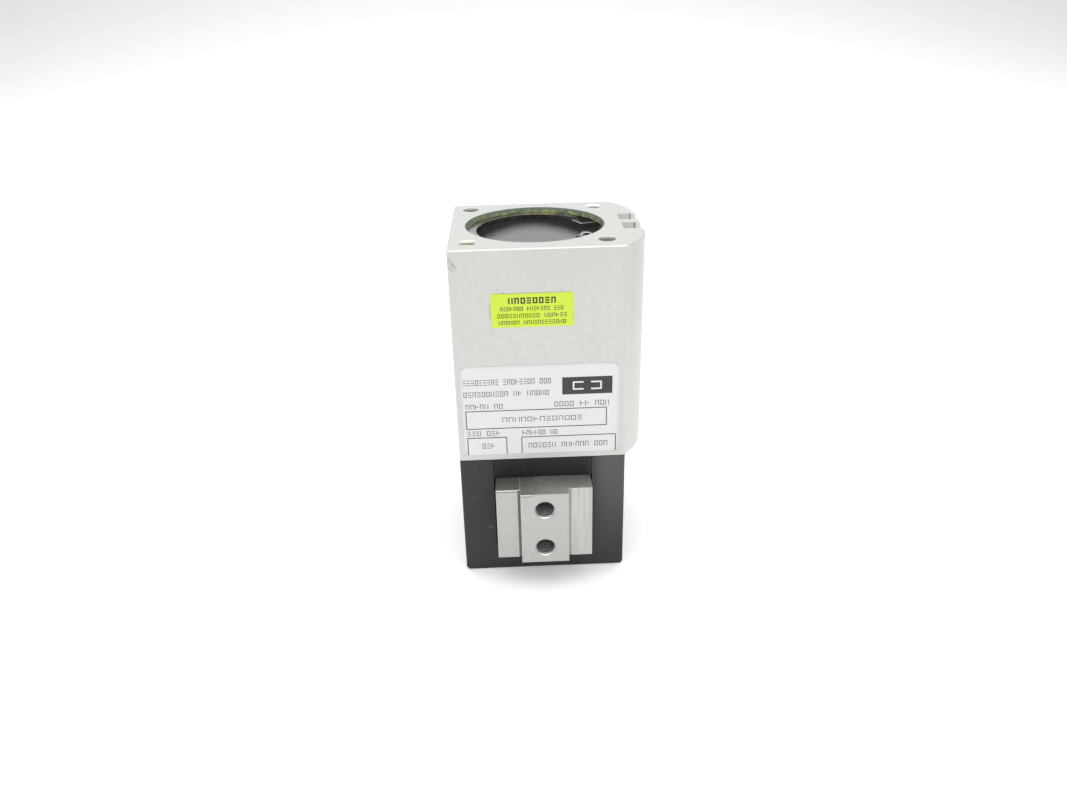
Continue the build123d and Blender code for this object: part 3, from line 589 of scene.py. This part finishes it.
def paint_ink(name, colour, worn):
    """Flat print that is worn paler in small patches."""
    p = Paint(name)
    wear = p.ramp(p.noise(0.6 * MM, detail=3), 0.55, 0.75, 0.0, 0.35)
    return p.finish(p.mix(wear, colour, worn), 0.45)


# ---- Mesh helpers -------------------------------------------------------------------

def show(name, thing):
    """Put a mesh, light or camera in the scene."""
    made = bpy.data.objects.new(name, thing)
    bpy.context.scene.collection.objects.link(made)
    return made


def make_piece(name, mesh, material, body, slot):
    """A visible piece that rides on a body."""
    made = show(name, mesh)
    mesh.materials.append(material)
    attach(made, body)
    return made


def rounded_outline(x0, x1, z0, z1, r, steps=4):
    """Corner points of a rounded rectangle in the XZ plane, counter-clockwise."""
    r = min(r, (x1 - x0) / 2.01, (z1 - z0) / 2.01)
    centres = ((x1 - r, z1 - r, 0), (x0 + r, z1 - r, 90), (x0 + r, z0 + r, 180), (x1 - r, z0 + r, 270))
    points = []
    for cx, cz, start in centres:
        for i in range(steps + 1):
            angle = radians(start + 90 * i / steps)
            points.append((cx + r * cos(angle), cz + r * sin(angle)))
    return points


def add_slab(bm, outline, y_front, y_back):
    """A closed prism through an XZ outline."""
    front = [bm.verts.new((x, y_front, z)) for x, z in outline]
    back = [bm.verts.new((x, y_back, z)) for x, z in outline]
    bm.faces.new(front)
    bm.faces.new(reversed(back))
    for i in range(len(outline)):
        j = (i + 1) % len(outline)
        bm.faces.new((front[j], front[i], back[i], back[j]))


def mesh_from(bm, name, smooth=False):
    """Turn a finished bmesh into a mesh whose faces look outwards."""
    bmesh.ops.recalc_face_normals(bm, faces=bm.faces)
    mesh = bpy.data.meshes.new(name)
    bm.to_mesh(mesh)
    bm.free()
    if smooth:
        mesh.shade_smooth()
    return mesh


def printed(name, bars, y_face, ink, slot):
    """Ink printed on a label, as thin slabs that stand a little proud of it."""
    bm = bmesh.new()
    for bar in bars:
        add_slab(bm, rounded_outline(*bar, r=0.08 * MM), y_face - INK_PROUD, y_face + INK_SUNK)
    make_piece(name, mesh_from(bm, name), paint_ink(*ink), "cylinder", slot)


def frame_bars(x0, x1, z0, z1, line, open_bottom=False):
    """The sides of a field box, each as (x0, x1, z0, z1)."""
    bars = [(x0, x1, z1 - line, z1), (x0, x0 + line, z0, z1 - line), (x1 - line, x1, z0, z1 - line)]
    return bars if open_bottom else bars + [(x0 + line, x1 - line, z0, z0 + line)]


def stroke_bars(kind, x0, x1, z0, z1, line):
    """A meaningless mark from upright strokes L, R and level strokes T, M, B."""
    bars = []
    if "L" in kind:
        bars.append((x0, x0 + line, z0, z1))
    if "R" in kind:
        bars.append((x1 - line, x1, z0, z1))
    inner = (x0 + line if "L" in kind else x0, x1 - line if "R" in kind else x1)
    middle = (z0 + z1 - line) / 2
    for letter, low in (("T", z1 - line), ("M", middle), ("B", z0)):
        if letter in kind:
            bars.append((*inner, low, low + line))
    return bars


def word_bars(rng, x0, x1, z0, z1, words, line):
    """A line of unreadable stand-in print: words of small marks that fill x0 to x1."""
    cells = []
    for count in words:
        cells += [True] * count + [False]
    cells = cells[:-1]
    step = (x1 - x0) / len(cells)
    gap = 0.24 * step
    bars = []
    for i, filled in enumerate(cells):
        kind = rng.choice(("LRTB", "LRT", "TMB", "LRTB", "LR", "LRT", "LM", "TMB"))
        if filled:
            left = x0 + i * step + gap / 2
            bars += stroke_bars(kind, left, left + step - gap, z0, z1, line)
    return bars


# ---- Labels -------------------------------------------------------------------------

def placer(corner):
    """A function that places a box, in millimetres from a label's lower left corner, in the CAD's frame."""
    def at(left, right, low, high):
        return corner.x + left * MM, corner.x + right * MM, corner.z + low * MM, corner.z + high * MM
    return at


def print_nameplate():
    """Blank data plate: field boxes, grey stand-in print and a plain dark block with two brackets."""
    rng = random.Random(11)
    at, face, slot = placer(PLATE_LOW), PLATE_LOW.y, "label_white"
    line = 0.36 * MM
    fields = frame_bars(*at(1.0, 54.0, 11.0, 18.7), line)
    fields += frame_bars(*at(1.1, 16.2, 0.25, 7.5), line, open_bottom=True)
    fields += frame_bars(*at(21.6, 57.6, 0.3, 7.3), line, open_bottom=True)
    printed("nameplate_fields", fields, face, ("ink_dark", (0.06, 0.06, 0.085), (0.2, 0.2, 0.23)), slot)

    lines = (                               # left, right, bottom, top, and the marks in each word
        (0.5, 33.3, 29.1, 31.3, (9, 8, 3)),
        (0.5, 32.5, 24.4, 26.5, (10, 2, 5)),
        (1.0, 15.2, 19.4, 21.4, (5, 2)),
        (34.1, 55.0, 19.5, 21.6, (4, 2, 3)),
        (14.4, 45.0, 13.7, 15.7, (13,)),
        (1.1, 13.9, 8.2, 10.2, (3, 3)),
        (21.9, 35.5, 8.0, 10.0, (6, 2)),
        (6.6, 11.6, 2.7, 4.9, (3,)),
        (24.1, 54.5, 2.4, 4.5, (6, 6, 3)),
    )
    bars = []
    for *box, words in lines:
        bars += word_bars(rng, *at(*box), words, 0.29 * MM)
    printed("nameplate_lines", bars, face, ("ink_grey", (0.13, 0.13, 0.14), (0.34, 0.34, 0.35)), slot)

    block = [at(37.3, 55.9, 24.3, 31.3)]
    printed("nameplate_block", block, face, ("ink_block", (0.03, 0.03, 0.034), (0.07, 0.07, 0.07)), slot)
    brackets = [at(41.2, 45.2, 28.9, 29.5), at(41.2, 45.2, 26.1, 26.7), at(41.2, 41.8, 26.7, 28.9)]
    brackets += [at(48.0, 52.0, 28.9, 29.5), at(48.0, 52.0, 26.1, 26.7), at(51.4, 52.0, 26.7, 28.9)]
    pale = ("ink_pale", (0.75, 0.75, 0.75), (0.6, 0.6, 0.6))
    printed("nameplate_mark", brackets, face - INK_PROUD, pale, slot)
    border = frame_bars(*at(0.35, 57.95, 0.0, 36.15), 0.12 * MM)
    printed("nameplate_border", border, face, ("ink_faint", (0.55, 0.55, 0.55), (0.7, 0.7, 0.7)), slot)


def print_sticker():
    """Blank sticker: one bold stand-in line over three finer ones."""
    rng = random.Random(5)
    at, face, slot = placer(STICKER_LOW), STICKER_LOW.y, "label_yellow"
    bold = word_bars(rng, *at(6.1, 23.5, 8.75, 11.05), (8,), 0.52 * MM)
    printed("sticker_heading", bold, face, ("ink_black", (0.02, 0.025, 0.01), (0.06, 0.08, 0.02)), slot)
    lines = (                               # left, right, bottom, and the marks in each word
        (3.3, 26.0, 6.15, (7, 7, 3)),
        (2.2, 27.3, 3.55, (11, 6)),
        (2.6, 26.9, 1.0, (6, 12)),
    )
    letter_height = 1.5
    fine = []
    for left, right, low, words in lines:
        fine += word_bars(rng, *at(left, right, low, low + letter_height), words, 0.25 * MM)
    printed("sticker_lines", fine, face, ("ink_olive", (0.04, 0.055, 0.01), (0.12, 0.16, 0.02)), slot)


# ---- Threads ------------------------------------------------------------------------

def add_thread(bm, mouth, direction, wall_r, pitch, height, length):
    """A helical ridge on a hole's wall, as one closed triangular strip running into the hole."""
    axis = Vector(direction).normalized()
    side = axis.orthogonal().normalized()
    other = axis.cross(side)
    per_turn = 40                            # sections in a turn
    half_base, buried_r = 0.46 * pitch, wall_r + 0.04 * MM
    steps = int(length / pitch * per_turn)
    sections = []
    for i in range(steps + 1):
        angle = tau * i / per_turn
        taper = min(1.0, i / per_turn, (steps - i) / per_turn)
        out = side * cos(angle) + other * sin(angle)
        middle = mouth + axis * (pitch * i / per_turn)
        crest_r = wall_r - height * max(taper, 0.02)
        base = middle + out * buried_r
        corners = (base - axis * half_base, middle + out * crest_r, base + axis * half_base)
        sections.append([bm.verts.new(corner) for corner in corners])
    for first, second in zip(sections, sections[1:]):
        for k in range(3):
            j = (k + 1) % 3
            bm.faces.new((first[k], first[j], second[j], second[k]))
    bm.faces.new(sections[0])
    bm.faces.new(reversed(sections[-1]))


def pattern_holes(name):
    """A bolt pattern mount's hole mouths, the direction into the holes, and the holes' radius."""
    mount = MOUNTS[name]
    dims, centre = mount["dims"], Vector(mount["pos_m"])
    axes = [i for i in range(3) if abs(mount["axis"][i]) < 0.5]
    spacings = [dims.get("spacing_x_mm", 0.0), dims.get("spacing_y_mm", 0.0)]
    holes = []
    for a in (-1, 1) if spacings[0] else (0,):
        for b in (-1, 1):
            hole = centre.copy()
            hole[axes[0]] += a * spacings[0] * MM / 2
            hole[axes[1]] += b * spacings[1] * MM / 2
            holes.append(hole)
    return holes, -Vector(mount["axis"]), dims["hole_r_mm"] * MM


def add_threads(name, holes, inward, r, body, slot, pitch, height, length, material):
    """One thread ridge in each hole, starting just under its countersink."""
    bm = bmesh.new()
    for hole in holes:
        add_thread(bm, hole + inward * (pitch * 0.4), inward, r, pitch, height, length)
    make_piece(name, mesh_from(bm, name, smooth=True), material, body, slot)


# ---- Springs ------------------------------------------------------------------------

def add_coil(name, node, turns, wire_r, material):
    """A compression spring with closed end turns, in place of the plain CAD coil."""
    low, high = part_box(node)
    wire = wire_r * 0.97                     # stays a little inside the CAD coil's box
    mean_r = high.x - wire
    per_turn, around = 36, 12                # sections in a turn, and corners in a section
    dead = 0.85                              # closed turns at each end
    total = turns + 2 * dead
    bottom, top = low.z + wire, high.z - wire
    active = (top - bottom - 4 * dead * wire) / turns
    bm = bmesh.new()
    rings = []
    steps = int(total * per_turn)
    for i in range(steps + 1):
        turn = total * i / steps
        first = min(turn, dead) * 2 * wire
        middle = max(0.0, min(turn - dead, turns)) * active
        last = max(0.0, turn - dead - turns) * 2 * wire
        angle = tau * turn
        out = Vector((cos(angle), sin(angle), 0))
        centre = out * mean_r + Vector((0, 0, bottom + first + middle + last))
        ring = []
        for k in range(around):
            a = tau * k / around
            ring.append(bm.verts.new(centre + (out * cos(a) + Vector((0, 0, sin(a)))) * wire))
        rings.append(ring)
    for one, two in zip(rings, rings[1:]):
        for k in range(around):
            j = (k + 1) % around
            bm.faces.new((one[k], one[j], two[j], two[k]))
    bm.faces.new(reversed(rings[0]))
    bm.faces.new(rings[-1])
    made = make_piece(name, mesh_from(bm, name, smooth=True), material, "cylinder", "spring_steel")
    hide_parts(node)
    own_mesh(made)


# ---- The object ---------------------------------------------------------------------

def paint_nodes():
    """Give every CAD node that stays its node material."""
    steel = paint_metal("tool_steel", (0.42, 0.42, 0.41), (0.56, 0.56, 0.55), 0.3, stretch=(8, 8, 1))
    screws = paint_metal("screw_steel", (0.03, 0.03, 0.032), (0.075, 0.075, 0.08), 0.38, metallic=0.6)
    pins = paint_metal("pin_steel", (0.5, 0.5, 0.5), (0.64, 0.64, 0.63), 0.22)
    rubber = paint_soft("seal_rubber", (0.012, 0.012, 0.012), (0.03, 0.03, 0.03), 0.5)
    materials = {
        "cylinder_body": paint_clear_anodised(),
        "jaw_housing": paint_black_anodised("black_anodised", 0.019, 0.42, housing_spots()),
        "channel_cover": paint_black_anodised("black_cover", 0.009, 0.35),
        "end_cap": paint_end_cap(),
        "retaining_ring": paint_ring(),
        "front_jaw": paint_jaw_steel(),
        "piston": paint_metal("piston_metal", (0.6, 0.6, 0.6), (0.74, 0.74, 0.74), 0.3),
        "piston_rod": paint_metal("rod_chrome", (0.68, 0.68, 0.69), (0.8, 0.8, 0.81), 0.12, metallic=1.0),
        "rod_bushing": paint_metal("bronze", (0.42, 0.26, 0.1), (0.62, 0.42, 0.19), 0.35),
        "bumper": paint_soft("bumper_rubber", (0.42, 0.26, 0.06), (0.58, 0.38, 0.11), 0.4),
        "wear_ring": paint_soft("wear_plastic", (0.2, 0.16, 0.1), (0.32, 0.26, 0.16), 0.45),
        "magnet_ring": paint_soft("magnet", (0.06, 0.06, 0.06), (0.11, 0.11, 0.11), 0.5),
        "nameplate": paint_film("label_white", (0.705, 0.705, 0.705), (0.67, 0.67, 0.665), 0.4),
        "yellow_label": paint_film("label_yellow", (0.585, 0.75, 0.052), (0.53, 0.695, 0.055), 0.42),
    }
    materials["rear_jaw"] = materials["front_jaw"]
    for node in ("wedge_cam", "guide_rail_left", "guide_rail_right"):
        materials[node] = steel
    for node in ("rail_screws", "cover_screws", "housing_screws", "piston_screw"):
        materials[node] = screws
    for node in ("cross_pin", "dowel_pins"):
        materials[node] = pins
    for node in ("piston_seal_lower", "piston_seal_upper", "rod_seal", "end_cap_o_ring"):
        materials[node] = rubber
    for name, node in frame["nodes"].items():
        if name in materials:
            node.data.materials.clear()
            node.data.materials.append(materials[name])


def add_details():
    """Print, cut threads and springs."""
    print_nameplate()
    print_sticker()
    finger = (1.41 * MM, 0.42 * MM, 11 * MM, paint_jaw_threads())       # pitch, height, length, material
    for jaw in ("front_jaw", "rear_jaw"):
        add_threads(jaw + "_threads", *pattern_holes(jaw + "_bolts"), jaw, "jaw_steel", *finger)
    corner = (1.27 * MM, 0.35 * MM, 13 * MM, paint_corner_threads())
    add_threads("corner_threads", *pattern_holes("top_bolts"), "cylinder", "clear_anodised", *corner)
    port_thread = paint_metal("port_thread", (0.34, 0.34, 0.33), (0.5, 0.5, 0.49), 0.35)
    countersink = 0.7 * MM
    for port, length in (("open_port", 4.4 * MM), ("close_port", 9.5 * MM)):
        mount = MOUNTS[port]
        mouth = Vector((BODY_LOW.x + countersink, mount["pos_m"][1], mount["pos_m"][2]))
        hole = ([mouth], -Vector(mount["axis"]), mount["dims"]["r_mm"] * MM)
        thread = (0.94 * MM, 0.35 * MM, length, port_thread)
        add_threads(port + "_threads", *hole, "cylinder", "clear_anodised", *thread)
    springs = paint_metal("spring_steel", (0.22, 0.22, 0.23), (0.36, 0.36, 0.37), 0.3)
    add_coil("outer_coil", "outer_spring", 5.0, 1.5 * MM, springs)
    add_coil("inner_coil", "inner_spring", 7.5, 1.0 * MM, springs)


# ---- Camera, floor and light --------------------------------------------------------

def add_camera():
    """Looks down at the front, a little from the left, as a 30 mm lens would."""
    place = (-10.497 * MM, -330.032 * MM, 217.055 * MM)
    pitch, yaw, roll = radians(25.510), radians(1.460), radians(-1.425)
    camera = bpy.data.cameras.new("camera")
    camera.sensor_width, camera.lens = 36.0, 29.83
    camera.clip_start, camera.clip_end = 0.01, 20.0
    forward = Vector((sin(yaw) * cos(pitch), cos(yaw) * cos(pitch), -sin(pitch)))
    level = Vector((cos(yaw), -sin(yaw), 0.0))
    above = level.cross(forward)
    right = cos(roll) * level + sin(roll) * above
    up = cos(roll) * above - sin(roll) * level
    turn = Matrix((right, up, -forward)).transposed().to_4x4()
    rig = show("camera", camera)
    rig.matrix_world = Matrix.Translation(place) @ turn
    bpy.context.scene.camera = rig


def paint_paper():
    """White paper that glows a little, and fades on the floor far behind the object."""
    p = Paint("paper")
    far_behind = p.times(p.ramp(p.radius(), 0.95, 2.1), p.ramp(p.y, 0.5, 1.0))
    low = p.ramp(p.z, 0.75, 0.3)
    bright = p.one_minus(p.times(far_behind, low, 0.42))
    white = p.mix(p.noise(300 * MM), (0.915, 0.915, 0.92), (0.93, 0.93, 0.935))
    p.glow(p.times(bright, 0.19))
    return p.finish(p.mix(bright, BLACK, white), 0.8)


def add_floor():
    """A pale seamless sweep: flat under the object and curving up far behind it."""
    half_width, front, back, curve_r, top = 6.0, -2.5, 2.2, 1.2, 3.0         # in metres
    curve = [radians(angle) for angle in range(0, 91, 6)]
    profile = [(front, 0.0)]
    profile += [(back - curve_r + curve_r * sin(a), curve_r - curve_r * cos(a)) for a in curve]
    profile += [(back, top)]
    bm = bmesh.new()
    rows = [[bm.verts.new((x, y, z)) for x in (-half_width, half_width)] for y, z in profile]
    for one, two in zip(rows, rows[1:]):
        bm.faces.new((one[0], one[1], two[1], two[0]))
    floor = show("floor", mesh_from(bm, "floor", smooth=True))
    floor.data.materials.append(paint_paper())


def add_dome():
    """White surround beyond the floor's edge. It is only a backdrop and casts no light."""
    p = Paint("backdrop_white")
    p.glow(1.0)
    bm = bmesh.new()
    bmesh.ops.create_uvsphere(bm, u_segments=48, v_segments=24, radius=9.0)
    dome = show("dome", mesh_from(bm, "dome", smooth=True))
    dome.data.materials.append(p.finish(BLACK, 1.0, Specular_IOR_Level=0.0))
    dome.visible_diffuse = dome.visible_glossy = dome.visible_shadow = dome.visible_transmission = False


def add_light():
    """A large soft light overhead in an even white surround."""
    place, size, power = Vector((0.0, 0.15, 1.6)), 2.2, 18.0
    middle = Vector((0.0, 0.0, cad_box[1][2] / 2))
    light = bpy.data.lights.new("overhead", "AREA")
    light.shape, light.size, light.energy = "SQUARE", size, power
    rig = show("overhead", light)
    rig.location = place
    rig.rotation_euler = (middle - place).to_track_quat("-Z", "Y").to_euler()
    world = bpy.data.worlds.new("studio")
    bpy.context.scene.world = world
    world.use_nodes = True
    background = world.node_tree.nodes["Background"]
    background.inputs["Color"].default_value = opaque(WHITE)
    background.inputs["Strength"].default_value = 0.9
    bpy.context.scene.view_settings.view_transform = "Standard"


add_camera()
add_floor()
add_dome()
add_light()
paint_nodes()
add_details()
